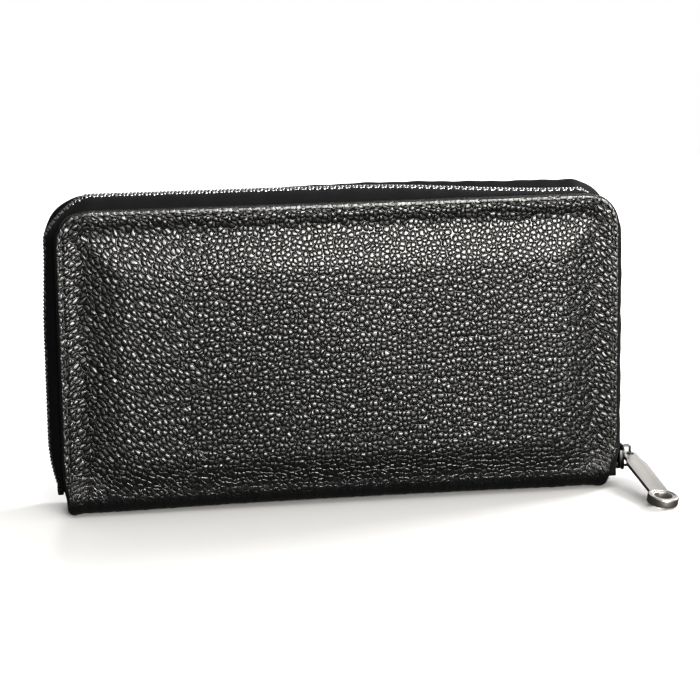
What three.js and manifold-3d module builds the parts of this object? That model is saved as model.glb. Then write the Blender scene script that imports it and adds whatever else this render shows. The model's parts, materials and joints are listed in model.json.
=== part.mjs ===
// A zip-around long wallet, closed, standing on its folded spine.
// Millimetres, +Z up, +X to the right of the front cover, front cover at -Y.
// The origin is on the ground under the middle of the spine.
import * as THREE from "three";
import * as BufferGeometryUtils from "three/addons/utils/BufferGeometryUtils.js";
import Module from "manifold-3d";

const wasm = await Module();
wasm.setup();

// ---------------------------------------------------------------- driving dimensions
const panelWidth = 192;          // leather panel, seam to seam
const panelHeight = 104;         // ground to the panel's top edge
const thickness = 25;            // front leather face to rear leather face, at the seam
const cornerRadius = 12;         // the panels' two top corners
const spineRadius = 7;           // where a panel turns under into the spine
const leatherThickness = 1.1;
const gap = 0.3;                 // clearance between neighbouring pieces
const panelStart = 15;           // where the rigid front half ends above the spine

// layers of one half, as distances inward from the outer leather face
const halfDepth = thickness / 2;
const paddingFrom = leatherThickness + gap;
const paddingThickness = 0.8;
const boardFrom = paddingFrom + paddingThickness + gap;
const boardThickness = 1.0;
const liningFrom = boardFrom + boardThickness + gap;
const liningThickness = 0.5;
const cardWallFrom = liningFrom + liningThickness + 2 * gap;
const cardWallThickness = 0.5;
const cardStripGap = 0.25;
const cardStripThickness = 0.45;
const cardStripPitch = cardStripThickness + cardStripGap;

// outlines of the layers, as distances inward from the panel's edge
const boardInset = 10;
const liningInset = 9;
const cardWallInset = 11;
const cardStripInset = 13;
const innerCornerRadius = 2;
const cardStripRadius = 1.5;
const cardStripCount = 4;
const firstStripDrop = 29;       // from the panel's top edge to the highest strip
const cardStripStep = 9;         // each strip's top stands this much lower than the last
const liningOverlap = 4;         // how far the linings reach below the rigid panels
const cardFoot = 3;              // the card wall's foot above the rigid panels' start

// zip fastener: offsets are measured outward from the panels' edge
const toothPitch = 2.5;
const toothHalfWidth = 2.6;      // from the middle of the chain to a row's back
const toothReach = 0.75;         // how far a tooth passes the middle of the chain
const toothInner = 2.0;
const toothOuter = 4.0;
const tapeThickness = 0.4;
const tapeCrown = 2.8;           // the tape's inner face beside the teeth
const tapeShoulder = 2.2;        // the same, at shoulderFrom
const shoulderFrom = 7.2;        // from the middle of the chain to the tape's shoulder
const tapeBend = -0.6;           // where the tape turns in under the panel
const tapeTuck = -7.5;           // how far it runs under the panel
const stopNear = 1.0;            // the end stops' sides, from the middle of the chain
const stopFar = 2.5;
const stopHeight = 2.4;
const stopGap = 0.7;             // between a stop and the nearest tooth
const chainStart = 7.5;          // height of the first meshed tooth on the right
const leftChainStart = 9;
const taperTop = 26;             // the left leg of the chain sinks in below this height
const taperDepth = 2.6;

// slider
const sliderLow = 4;
const sliderHigh = 13;
const sliderHalfWidth = 4.6;
const plateThickness = 0.7;
const flangeThickness = 0.7;
const postHalfWidth = 0.55;
const weld = 0.1;                // overlap of parts cast in one piece
const bridgeWire = 0.9;
const bridgeClear = 2.25;        // room for the puller's nose inside the bridge
const bridgeBow = 1.4;           // size of the bridge's two bends

// puller: it lies with its free end on the ground in front of the wallet
const pullerLength = 40;         // from the bridge wire to the middle of the eyelet
const pullerNeckWidth = 5.4;     // its round nose and the neck beside the slider
const pullerWidth = 7.2;
const neckEnd = 4.8;             // distances along the puller where it flares
const flareEnd = 9;
const pullerThickness = 1.3;
const eyeletRadius = 5.3;
const eyeletHole = 3.0;
const eyeletThickness = 2.9;
const eyeletRise = 0.25;         // how far the eyelet stands above the bar's face
const pullerSlotLength = 2.2;
const pullerSlotWidth = 2.6;
const pullerRoll = -5;           // degrees, its face turned a little away from the wallet
const pullerSlope = 7.6;         // degrees, down towards the free end

// gussets
const gussetHalfDepth = 3.9;
const gussetReach = 4;
const gussetWall = 0.5;
const gussetDrop = 16;           // from the panel's top edge to the gussets' top

// inner coin pocket
const coinHalfDepth = 3.3;
const coinWall = 0.6;
const coinFoldRadius = 2.6;
const coinHalfWidth = 76;
const coinBottom = 12;
const coinTop = 80;
const coinTapeWidth = 8;
const coinTapeRise = 1;          // the tapes stand this much above the bag's mouth
const coinTapeInset = 3;
const coinRowInset = 6;
const coinRowInner = 1.0;
const coinRowOuter = 2.2;
const coinRowHeight = 1.3;

// coin pocket's slider and its tab
const coinSliderX = 60;          // the slider at its closed end
const coinSliderHalf = 3.6;
const coinPlateHalfDepth = 2.9;
const coinPlateThickness = 0.8;
const coinBridgeHalf = 2.8;
const coinBridgeClear = 0.8;     // above and below the middle of the tab
const coinBridgeWire = 0.6;
const coinRibHalf = 0.5;         // half the depth of the post and of the bridge
const coinPostLength = 2;
const coinPullerLength = 18;
const coinPullerHalfWidth = 1.8;
const coinPullerThickness = 0.7;
const coinSlotHalfWidth = 0.85;
const coinSlotLength = 3;
const coinPullerHole = 0.9;

// ---------------------------------------------------------------- materials
function material(color, roughness, metalness) {
  return new THREE.MeshStandardMaterial({ color, roughness, metalness });
}

const pebbledLeather = material(0x1b1b1c, 0.42, 0);
const liningFabric = material(0x1d1c1d, 0.85, 0);
const smoothLeather = material(0x1f1d1d, 0.5, 0);
const tapeFabric = material(0x101011, 0.9, 0);
const board = material(0x8c8478, 0.9, 0);
const foam = material(0x2c2c2e, 0.95, 0);
const gunmetal = material(0x3c3c40, 0.35, 1);
const nickel = material(0xc3beb6, 0.28, 1);

// ---------------------------------------------------------------- solids
function toManifold(geometry) {
  const bare = geometry.clone();
  bare.deleteAttribute("normal");
  bare.deleteAttribute("uv");
  const merged = BufferGeometryUtils.mergeVertices(bare, 1e-4);
  return new wasm.Manifold(new wasm.Mesh({
    numProp: 3,
    vertProperties: new Float32Array(merged.attributes.position.array),
    triVerts: new Uint32Array(merged.index.array),
  }));
}

function fromManifold(solid) {
  const mesh = solid.getMesh();
  const geometry = new THREE.BufferGeometry();
  geometry.setAttribute("position", new THREE.BufferAttribute(mesh.vertProperties, 3));
  geometry.setIndex(new THREE.BufferAttribute(mesh.triVerts, 1));
  return geometry;
}

// a box given by its lowest and highest corner
function block(low, high) {
  const geometry = new THREE.BoxGeometry(high[0] - low[0], high[1] - low[1], high[2] - low[2]);
  geometry.translate((low[0] + high[0]) / 2, (low[1] + high[1]) / 2, (low[2] + high[2]) / 2);
  return geometry;
}

// moves every vertex by a function of its place
function bend(geometry, move) {
  const position = geometry.attributes.position;
  const vertex = new THREE.Vector3();
  for (let index = 0; index < position.count; index += 1) {
    vertex.fromBufferAttribute(position, index);
    move(vertex);
    position.setXYZ(index, vertex.x, vertex.y, vertex.z);
  }
  return geometry;
}

// a shape drawn in the X-Z plane, made solid between two values of Y
function uprightPlate(shape, yLow, yHigh, curveSegments = 6) {
  const geometry = new THREE.ExtrudeGeometry(shape, {
    depth: yHigh - yLow,
    bevelEnabled: false,
    curveSegments,
  });
  geometry.rotateX(Math.PI / 2);
  geometry.translate(0, yHigh, 0);
  return geometry;
}

// a shape drawn in the Y-Z plane, made solid between two values of X
function crossPlate(shape, xLow, xHigh, curveSegments = 6) {
  const geometry = new THREE.ExtrudeGeometry(shape, {
    depth: xHigh - xLow,
    bevelEnabled: false,
    curveSegments,
  });
  return bend(geometry, (vertex) => vertex.set(xLow + vertex.z, vertex.x, vertex.y));
}

// a panel with square feet and two round top corners
function panelOutline(halfWidth, low, high, radius) {
  const shape = new THREE.Shape();
  shape.moveTo(-halfWidth, low);
  shape.lineTo(halfWidth, low);
  shape.lineTo(halfWidth, high - radius);
  shape.absarc(halfWidth - radius, high - radius, radius, 0, Math.PI / 2, false);
  shape.lineTo(-halfWidth + radius, high);
  shape.absarc(-halfWidth + radius, high - radius, radius, Math.PI / 2, Math.PI, false);
  shape.lineTo(-halfWidth, low);
  return shape;
}

function panelLayer(side, from, depth, inset, low) {
  const outline = panelOutline(
    panelWidth / 2 - inset,
    low,
    panelHeight - inset,
    Math.max(cornerRadius - inset, innerCornerRadius),
  );
  const outer = side * (halfDepth - from);
  const inner = side * (halfDepth - from - depth);
  return uprightPlate(outline, Math.min(outer, inner), Math.max(outer, inner));
}

// ---------------------------------------------------------------- the panels' edge
// A station is a place along the panels' edge: up the left side, round both top
// corners and down the right side, with the outward direction there.
function edgeStation(x, z, outX, outZ) {
  return { x, z, outX, outZ };
}

function edgeLength(leftStart, rightEnd, offset) {
  const arc = (Math.PI / 2) * (cornerRadius + offset);
  const top = panelWidth - 2 * cornerRadius;
  const side = panelHeight - cornerRadius;
  return (side - leftStart) + arc + top + arc + (side - rightEnd);
}

// the station at a distance along the edge, for a line offset outward from it
function stationAt(distance, leftStart, offset) {
  const half = panelWidth / 2;
  const side = panelHeight - cornerRadius;
  const arc = (Math.PI / 2) * (cornerRadius + offset);
  const top = panelWidth - 2 * cornerRadius;
  let left = distance - (side - leftStart);
  if (left <= 0) {
    return edgeStation(-half, side + left, -1, 0);
  }
  if (left <= arc) {
    const angle = Math.PI - left / (cornerRadius + offset);
    const outX = Math.cos(angle);
    const outZ = Math.sin(angle);
    return edgeStation(-half + cornerRadius + cornerRadius * outX, side + cornerRadius * outZ, outX, outZ);
  }
  left -= arc;
  if (left <= top) {
    return edgeStation(-half + cornerRadius + left, panelHeight, 0, 1);
  }
  left -= top;
  if (left <= arc) {
    const angle = Math.PI / 2 - left / (cornerRadius + offset);
    const outX = Math.cos(angle);
    const outZ = Math.sin(angle);
    return edgeStation(half - cornerRadius + cornerRadius * outX, side + cornerRadius * outZ, outX, outZ);
  }
  left -= arc;
  return edgeStation(half, side - left, 1, 0);
}

// few stations where the edge is straight, more where it turns or sinks in
function smoothStations(leftStart, rightEnd) {
  const side = panelHeight - cornerRadius;
  const cornerSteps = 7;
  const taperSteps = 5;
  const arc = (Math.PI / 2) * cornerRadius;
  const top = panelWidth - 2 * cornerRadius;
  const distances = [];
  for (let step = 0; step <= taperSteps; step += 1) {
    distances.push((step / taperSteps) * (taperTop - leftStart));
  }
  for (let step = 0; step <= cornerSteps; step += 1) {
    distances.push(side - leftStart + (step / cornerSteps) * arc);
  }
  for (let step = 0; step <= cornerSteps; step += 1) {
    distances.push(side - leftStart + arc + top + (step / cornerSteps) * arc);
  }
  const full = edgeLength(leftStart, rightEnd, 0);
  for (const height of [spineRadius, (spineRadius + rightEnd) / 2, rightEnd]) {
    distances.push(full - (height - rightEnd));
  }
  return distances.map((distance) => stationAt(distance, leftStart, 0));
}

// half the room between the leathers, less where the spine curves in
function innerHalfDepth(z) {
  const inner = halfDepth - leatherThickness - gap;
  if (z >= spineRadius) {
    return inner;
  }
  const radius = spineRadius - leatherThickness - gap;
  return halfDepth - spineRadius + Math.sqrt(radius ** 2 - (spineRadius - z) ** 2);
}

// how far the zip sinks in towards the spine at the foot of its left leg
function taper(station) {
  if (station.outX > -1 || station.z >= taperTop) {
    return 0;
  }
  const along = (taperTop - station.z) / (taperTop - leftChainStart);
  return taperDepth * along * along;
}

// a section drawn as (y, outward offset) carried along stations of the edge
function alongEdge(section, stations, shift = (index, y) => y) {
  const last = stations.length - 1;
  const shape = new THREE.Shape(section.map(([y, offset]) => new THREE.Vector2(y, offset)));
  const geometry = new THREE.ExtrudeGeometry(shape, { depth: last, steps: last, bevelEnabled: false });
  return bend(geometry, (vertex) => {
    const index = Math.round(vertex.z);
    const station = stations[index];
    const sink = THREE.MathUtils.clamp(vertex.y / toothInner, 0, 1);
    const offset = vertex.y - sink * taper(station);
    const y = shift(index, vertex.x);
    vertex.set(station.x + station.outX * offset, y, station.z + station.outZ * offset);
  });
}

// a section given for the rear half, mirrored for the front half
function sideSection(side, points) {
  if (side > 0) {
    return points;
  }
  return points.map(([y, offset]) => [-y, offset]).reverse();
}

// ---------------------------------------------------------------- covers and spine
function coverLeather(side) {
  return panelLayer(side, 0, leatherThickness, 0, panelStart);
}

function coverPadding(side) {
  return panelLayer(side, paddingFrom, paddingThickness, boardInset, panelStart + gap);
}

function coverBoard(side) {
  return panelLayer(side, boardFrom, boardThickness, boardInset, panelStart + gap);
}

function coverLining(side) {
  return panelLayer(side, liningFrom, liningThickness, liningInset, panelStart - liningOverlap);
}

// a folded strip under both panels: up the front, round the foot and up the rear
function foldedStrip(outerHalf, outerLow, radius, depth, top) {
  const shape = new THREE.Shape();
  const inner = radius - depth;
  shape.moveTo(-outerHalf, top);
  shape.lineTo(-outerHalf, outerLow + radius);
  shape.absarc(-outerHalf + radius, outerLow + radius, radius, Math.PI, 1.5 * Math.PI, false);
  shape.lineTo(outerHalf - radius, outerLow);
  shape.absarc(outerHalf - radius, outerLow + radius, radius, -Math.PI / 2, 0, false);
  shape.lineTo(outerHalf, top);
  shape.lineTo(outerHalf - depth, top);
  shape.lineTo(outerHalf - depth, outerLow + radius);
  shape.absarc(outerHalf - radius, outerLow + radius, inner, 0, -Math.PI / 2, true);
  shape.lineTo(-outerHalf + radius, outerLow + depth);
  shape.absarc(-outerHalf + radius, outerLow + radius, inner, -Math.PI / 2, -Math.PI, true);
  shape.lineTo(-outerHalf + depth, top);
  return shape;
}

function spineLeather() {
  const shape = foldedStrip(halfDepth, 0, spineRadius, leatherThickness, panelStart - gap);
  return crossPlate(shape, -panelWidth / 2, panelWidth / 2);
}

function spineLining() {
  const shape = foldedStrip(
    halfDepth - leatherThickness - gap,
    leatherThickness + gap,
    spineRadius - leatherThickness - gap,
    liningThickness,
    panelStart - liningOverlap - gap,
  );
  const half = panelWidth / 2 - liningInset;
  return crossPlate(shape, -half, half);
}

// ---------------------------------------------------------------- zip fastener
// The tape runs from under the panel's edge out to its row of teeth.
function zipTape(side) {
  const inner = halfDepth - leatherThickness - gap;
  const bottom = inner - tapeThickness;
  const back = toothHalfWidth + gap;
  const section = sideSection(side, [
    [back, tapeCrown],
    [shoulderFrom, tapeShoulder],
    [bottom, tapeBend],
    [bottom, tapeTuck],
    [inner, tapeTuck],
    [inner, tapeBend],
    [shoulderFrom + gap, tapeShoulder + tapeThickness],
    [back, tapeCrown + tapeThickness],
  ]);
  const stations = smoothStations(leftChainStart, sliderLow);
  return alongEdge(section, stations, (index, y) => {
    const limit = innerHalfDepth(stations[index].z);
    const onOuterFace = Math.abs(y) > (inner + bottom) / 2;
    return side * Math.min(Math.abs(y), onOuterFace ? limit : limit - tapeThickness);
  });
}

// One row of teeth: a bar whose inner edge zigzags, one tip for each tooth. The
// two rows' tips alternate, half a pitch apart.
function toothRow(side) {
  const offset = (toothInner + toothOuter) / 2;
  const length = edgeLength(leftChainStart, chainStart, offset);
  const steps = 2 * Math.floor(length / toothPitch);
  const stations = [];
  for (let step = 0; step <= steps; step += 1) {
    stations.push(stationAt((step * length) / steps, leftChainStart, offset));
  }
  const section = sideSection(side, [
    [0, toothInner],
    [toothHalfWidth, toothInner],
    [toothHalfWidth, toothOuter],
    [0, toothOuter],
  ]);
  const phase = side > 0 ? 0 : 1;
  const edge = toothReach - gap;
  return alongEdge(section, stations, (index, y) => {
    if (y !== 0) {
      return y;
    }
    const tip = index % 2 === phase;
    return side * (tip ? -edge : toothReach);
  });
}

// a small block that stops the slider at one end of a row of teeth
function endStop(side, right) {
  const low = (right ? chainStart : leftChainStart) - stopGap - stopHeight;
  const sunk = right ? 0 : taperDepth;
  const inner = panelWidth / 2 + toothInner - sunk;
  const outer = panelWidth / 2 + toothOuter - sunk;
  const sign = right ? 1 : -1;
  return block(
    [Math.min(sign * inner, sign * outer), Math.min(side * stopNear, side * stopFar), low],
    [Math.max(sign * inner, sign * outer), Math.max(side * stopNear, side * stopFar), low + stopHeight],
  );
}

// two plates joined by a post below the meshed teeth, with a flange on each edge
function sliderBody() {
  const x = panelWidth / 2;
  const outerPlate = x + toothOuter + gap;
  const innerPlate = x + toothInner - gap;
  const half = sliderHalfWidth;
  const flangeIn = half - flangeThickness;
  const pieces = [
    block([outerPlate, -half, sliderLow], [outerPlate + plateThickness, half, sliderHigh]),
    block([innerPlate - plateThickness, -half, sliderLow], [innerPlate, half, sliderHigh]),
    block(
      [innerPlate - plateThickness, -postHalfWidth, sliderLow],
      [outerPlate + weld, postHalfWidth, chainStart - 1],
    ),
  ];
  const split = x + (tapeCrown + toothOuter) / 2 + tapeThickness / 2;
  const lowerSplit = x + toothInner + weld;
  for (const side of [-1, 1]) {
    const near = Math.min(side * flangeIn, side * half);
    const far = Math.max(side * flangeIn, side * half);
    pieces.push(block([split, near, sliderLow], [outerPlate + weld, far, sliderHigh]));
    pieces.push(block([innerPlate - weld, near, sliderLow], [lowerSplit, far, sliderHigh]));
  }
  return joined(pieces);
}

function joined(geometries) {
  let solid = toManifold(geometries[0]);
  for (const geometry of geometries.slice(1)) {
    solid = solid.add(toManifold(geometry));
  }
  return fromManifold(solid);
}

function cut(geometry, tools) {
  let solid = toManifold(geometry);
  for (const tool of tools) {
    solid = solid.subtract(toManifold(tool));
  }
  return fromManifold(solid);
}

// where the bridge's wire crosses the puller
const bridgeFoot = panelWidth / 2 + toothOuter + gap + plateThickness + gap;
const bridgeX = bridgeFoot + bridgeClear + bridgeWire / 2;
const bridgeZ = (sliderLow + sliderHigh) / 2;

// a wire staple over the slider's outer plate
function sliderBridge() {
  const low = sliderLow + 1;
  const high = sliderHigh - 1;
  const points = [
    new THREE.Vector3(bridgeFoot, 0, low),
    new THREE.Vector3(bridgeX - bridgeBow, 0, low),
    new THREE.Vector3(bridgeX, 0, low + bridgeBow),
    new THREE.Vector3(bridgeX, 0, high - bridgeBow),
    new THREE.Vector3(bridgeX - bridgeBow, 0, high),
    new THREE.Vector3(bridgeFoot, 0, high),
  ];
  const section = new THREE.Shape();
  section.absarc(0, 0, bridgeWire / 2, 0, 2 * Math.PI, false);
  const curve = new THREE.CatmullRomCurve3(points, false, "catmullrom", 0.2);
  return new THREE.ExtrudeGeometry(section, { extrudePath: curve, steps: 20, curveSegments: 4 });
}

// the bar seen from above, along +X: a round nose, a neck, then its full width
function pullerOutline() {
  const neck = pullerNeckWidth / 2;
  const full = pullerWidth / 2;
  const shape = new THREE.Shape();
  shape.moveTo(0, -neck);
  shape.lineTo(neckEnd, -neck);
  shape.lineTo(flareEnd, -full);
  shape.lineTo(pullerLength, -full);
  shape.lineTo(pullerLength, full);
  shape.lineTo(flareEnd, full);
  shape.lineTo(neckEnd, neck);
  shape.lineTo(0, neck);
  shape.absarc(0, 0, neck, Math.PI / 2, 1.5 * Math.PI, false);
  return shape;
}

// a bar with a thick eyelet at its free end and a slot for the bridge's wire
function zipPuller() {
  const thick = pullerThickness;
  const bar = new THREE.ExtrudeGeometry(pullerOutline(), {
    depth: thick,
    bevelEnabled: false,
    curveSegments: 12,
  });
  bar.translate(0, 0, -thick / 2);
  const boss = new THREE.CylinderGeometry(eyeletRadius, eyeletRadius, eyeletThickness, 28);
  boss.rotateX(Math.PI / 2);
  boss.translate(pullerLength, 0, (thick - eyeletThickness) / 2 + eyeletRise);
  const drill = new THREE.CylinderGeometry(eyeletHole, eyeletHole, eyeletThickness * 3, 20);
  drill.rotateX(Math.PI / 2);
  drill.translate(pullerLength, 0, 0);
  const slot = block(
    [-pullerSlotLength / 2, -pullerSlotWidth / 2, -thick],
    [pullerSlotLength / 2, pullerSlotWidth / 2, thick],
  );
  const geometry = cut(joined([bar, boss]), [drill, slot]);
  geometry.rotateX(THREE.MathUtils.degToRad(pullerRoll));
  geometry.rotateY(THREE.MathUtils.degToRad(pullerSlope));
  geometry.rotateZ(THREE.MathUtils.degToRad(-90));
  return geometry;
}

// ---------------------------------------------------------------- inside
function cardWall(side) {
  return panelLayer(side, cardWallFrom, cardWallThickness, cardWallInset, panelStart + cardFoot);
}

// strips step down towards the middle of the wallet, each lower than the last
function cardStrip(side, number) {
  const from = cardWallFrom + cardWallThickness + cardStripGap + (number - 1) * cardStripPitch;
  const top = panelHeight - firstStripDrop - (number - 1) * cardStripStep;
  const low = panelStart + cardFoot + 1;
  const outline = panelOutline(panelWidth / 2 - cardStripInset, low, top, cardStripRadius);
  const outer = side * (halfDepth - from);
  const inner = side * (halfDepth - from - cardStripThickness);
  return uprightPlate(outline, Math.min(outer, inner), Math.max(outer, inner), 2);
}

// an accordion fold closing one end of the wallet between the two linings
function gusset(sign) {
  const base = sign * (panelWidth / 2 - cardWallInset);
  const fold = base - sign * gussetReach;
  const folds = 3;
  const corners = [];
  for (let index = 0; index <= folds; index += 1) {
    corners.push([index % 2 === 0 ? base : fold, gussetHalfDepth * ((2 * index) / folds - 1)]);
  }
  const back = corners.map(([x, y]) => [x + gussetWall, y]).reverse();
  const shape = new THREE.Shape([...corners, ...back].map(([x, y]) => new THREE.Vector2(x, y)));
  const low = panelStart + cardFoot;
  const depth = panelHeight - gussetDrop - low;
  const geometry = new THREE.ExtrudeGeometry(shape, { depth, bevelEnabled: false });
  geometry.translate(0, 0, low);
  return geometry;
}

// a bag folded from one piece: two walls and a closed foot, open at the top
function coinBag() {
  const shape = foldedStrip(coinHalfDepth, coinBottom, coinFoldRadius, coinWall, coinTop);
  return crossPlate(shape, -coinHalfWidth, coinHalfWidth, 3);
}

const coinTapeTop = coinTop + coinTapeRise;

function coinTape(side) {
  const outer = side * (coinHalfDepth - coinWall - gap);
  const inner = side * (coinHalfDepth - coinWall - gap - tapeThickness);
  const half = coinHalfWidth - coinTapeInset;
  return block(
    [-half, Math.min(outer, inner), coinTapeTop - coinTapeWidth],
    [half, Math.max(outer, inner), coinTapeTop],
  );
}

function coinTeeth(side) {
  const half = coinHalfWidth - coinRowInset;
  const low = coinTapeTop + gap;
  return block(
    [-half, Math.min(side * coinRowInner, side * coinRowOuter), low],
    [half, Math.max(side * coinRowInner, side * coinRowOuter), low + coinRowHeight],
  );
}

// heights on the coin pocket's slider
const coinPlateLow = coinTapeTop + gap + coinRowHeight + gap;
const coinPlateHigh = coinPlateLow + coinPlateThickness;
const coinPivotZ = coinPlateHigh + coinBridgeClear;
const coinBridgeLow = coinPivotZ + coinBridgeClear;

// a plate over the teeth, a post between them, and a low bridge along the zip
function coinSlider() {
  const half = coinSliderHalf;
  const rib = coinRibHalf;
  const high = coinBridgeLow + coinBridgeWire;
  const pieces = [
    block(
      [coinSliderX - half, -coinPlateHalfDepth, coinPlateLow],
      [coinSliderX + half, coinPlateHalfDepth, coinPlateHigh],
    ),
    block(
      [coinSliderX + half - coinPostLength, -rib, coinTop + gap],
      [coinSliderX + half, rib, coinPlateLow + weld],
    ),
    block([coinSliderX - coinBridgeHalf, -rib, coinBridgeLow], [coinSliderX + coinBridgeHalf, rib, high]),
  ];
  for (const x of [coinSliderX - coinBridgeHalf, coinSliderX + coinBridgeHalf - coinBridgeWire]) {
    pieces.push(block([x, -rib, coinPlateHigh - weld], [x + coinBridgeWire, rib, high]));
  }
  return joined(pieces);
}

// a flat tab whose end bar turns inside the slider's bridge
function coinPuller() {
  const half = coinPullerHalfWidth;
  const low = coinPivotZ - coinPullerThickness / 2;
  const high = low + coinPullerThickness;
  const bar = block([coinSliderX - coinPullerLength, -half, low], [coinSliderX + weld * 4, half, high]);
  const slotEnd = coinSliderX - coinRibHalf;
  const slot = block(
    [slotEnd - coinSlotLength, -coinSlotHalfWidth, low - 1],
    [slotEnd, coinSlotHalfWidth, high + 1],
  );
  const hole = new THREE.CylinderGeometry(coinPullerHole, coinPullerHole, 4, 14);
  hole.rotateX(Math.PI / 2);
  hole.translate(coinSliderX - coinPullerLength + 2 * coinPullerHole, 0, low);
  return cut(bar, [slot, hole]);
}

// ---------------------------------------------------------------- assembly
function add(parent, name, geometry, look) {
  const mesh = new THREE.Mesh(geometry, look);
  mesh.name = name;
  parent.add(mesh);
  return mesh;
}

function coverHalf(side, label) {
  const half = new THREE.Group();
  add(half, `${label}_leather`, coverLeather(side), pebbledLeather);
  add(half, `${label}_padding`, coverPadding(side), foam);
  add(half, `${label}_board`, coverBoard(side), board);
  add(half, `${label}_lining`, coverLining(side), liningFabric);
  add(half, `${label}_zip_tape`, zipTape(side), tapeFabric);
  add(half, `${label}_zip_teeth`, toothRow(side), gunmetal);
  add(half, `${label}_left_stop`, endStop(side, false), gunmetal);
  add(half, `${label}_right_stop`, endStop(side, true), gunmetal);
  add(half, `${label}_card_wall`, cardWall(side), smoothLeather);
  for (let number = 1; number <= cardStripCount; number += 1) {
    add(half, `${label}_card_slot_${number}`, cardStrip(side, number), smoothLeather);
  }
  return half;
}

function coinPocket() {
  const pocket = new THREE.Group();
  add(pocket, "coin_bag", coinBag(), smoothLeather);
  add(pocket, "coin_front_tape", coinTape(-1), tapeFabric);
  add(pocket, "coin_rear_tape", coinTape(1), tapeFabric);
  add(pocket, "coin_front_teeth", coinTeeth(-1), gunmetal);
  add(pocket, "coin_rear_teeth", coinTeeth(1), gunmetal);
  add(pocket, "coin_slider", coinSlider(), nickel);
  add(pocket, "coin_puller", coinPuller(), nickel);
  return pocket;
}

const wallet = new THREE.Group();
wallet.add(coverHalf(-1, "front"));
wallet.add(coverHalf(1, "rear"));
add(wallet, "spine_leather", spineLeather(), pebbledLeather);
add(wallet, "spine_lining", spineLining(), liningFabric);
add(wallet, "left_gusset", gusset(-1), liningFabric);
add(wallet, "right_gusset", gusset(1), liningFabric);
wallet.add(coinPocket());
add(wallet, "zip_slider", sliderBody(), gunmetal);
add(wallet, "slider_bridge", sliderBridge(), gunmetal);
const puller = add(wallet, "zip_puller", zipPuller(), nickel);
puller.position.set(bridgeX, 0, bridgeZ);

export default wallet;
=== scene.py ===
"""The looks of the long wallet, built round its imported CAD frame. Metres, +Z up."""
import json
import math

import bmesh
import bpy
import numpy as np
from mathutils import Matrix, Quaternion, Vector


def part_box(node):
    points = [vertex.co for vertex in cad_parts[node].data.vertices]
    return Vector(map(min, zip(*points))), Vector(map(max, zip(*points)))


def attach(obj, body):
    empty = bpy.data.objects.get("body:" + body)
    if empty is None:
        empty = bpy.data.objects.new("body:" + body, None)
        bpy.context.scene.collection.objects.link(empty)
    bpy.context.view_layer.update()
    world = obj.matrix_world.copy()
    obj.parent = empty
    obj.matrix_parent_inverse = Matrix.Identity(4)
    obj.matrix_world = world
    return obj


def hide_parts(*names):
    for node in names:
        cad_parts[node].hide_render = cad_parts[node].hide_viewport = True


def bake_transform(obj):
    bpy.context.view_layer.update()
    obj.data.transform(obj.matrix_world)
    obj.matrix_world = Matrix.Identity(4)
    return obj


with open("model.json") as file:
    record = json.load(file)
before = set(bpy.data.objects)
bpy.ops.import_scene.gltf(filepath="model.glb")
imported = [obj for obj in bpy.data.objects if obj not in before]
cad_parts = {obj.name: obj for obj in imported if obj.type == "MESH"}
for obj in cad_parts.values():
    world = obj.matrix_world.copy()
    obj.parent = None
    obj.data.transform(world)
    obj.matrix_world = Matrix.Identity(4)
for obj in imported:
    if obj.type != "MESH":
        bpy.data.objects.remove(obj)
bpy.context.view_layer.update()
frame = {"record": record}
MM = 0.001
IN_MM = (1000, 1000, 1000)                 # texture space in millimetres

# ------------------------------------------------------------------ places from the frame
front_low, front_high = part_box("front_leather")
tape_low, tape_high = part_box("front_zip_tape")
teeth_low, teeth_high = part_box("front_zip_teeth")
slider_low, slider_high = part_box("zip_slider")
bridge_low, bridge_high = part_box("slider_bridge")

HALF_WIDTH = front_high.x
HEIGHT = front_high.z
HALF_DEPTH = -front_low.y
CORNER = 12 * MM
SPINE_RADIUS = 7 * MM
LEATHER = front_high.y - front_low.y
LIP = 0.9 * MM                             # the turned edge is that much thicker
TAPE_TOP = tape_high.z - HEIGHT            # how far the tape stands out at the teeth
TEETH_OUT = teeth_high.z - HEIGHT
TEETH_THICK = 2.0 * MM
TOOTH_PITCH = 2.5 * MM
CHAIN_OFFSET = TEETH_OUT - TEETH_THICK / 2
LEFT_START = tape_low.z + 5 * MM           # the chain's two ends
RIGHT_END = teeth_low.z
TAPER_TOP = 26 * MM
TAPER_DEPTH = 2.6 * MM
STITCH_INSET = 2.3 * MM

# On the real wallet the leather bends along -Y: the whole front panel follows the cover, the rear one stays.
# declare only bakes the transform of a piece given this span.
SKIN_BEND = {"start": (0, 6 * MM, 0), "end": (0, -11.2 * MM, 0)}
# On the real wallet the front tape and teeth bend near their foot only, where they part from the spine.
# declare only bakes the transform of a piece given this span.
FOOT_BEND = {"start": (0, 0, 5 * MM), "end": (0, 0, 18 * MM)}
ZIP_MOTION = {-1: {"bend": FOOT_BEND}, 1: {"body": "root"}}      # by side, front and rear


# ------------------------------------------------------------------ small maths
def smoothstep(low, high, value):
    t = np.clip((np.asarray(value, float) - low) / (high - low), 0, 1)
    return t * t * (3 - 2 * t)


def bump_curve(value, middle, width):
    return np.exp(-(((value - middle) / width) ** 2))


def graded(stops):
    """Positions from (start, end, step) stretches, each end shared with the next start."""
    places = [np.array([stops[0][0]])]
    for start, end, step in stops:
        count = max(1, round(abs(end - start) / step))
        places.append(np.linspace(start, end, count + 1)[1:])
    return np.concatenate(places)


def path_lengths(points):
    """The length so far at each point of a path, from each point's first two coordinates."""
    steps = np.hypot(*np.diff(np.asarray(points)[:, :2], axis=0).T)
    return np.concatenate([[0], np.cumsum(steps)])


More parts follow.
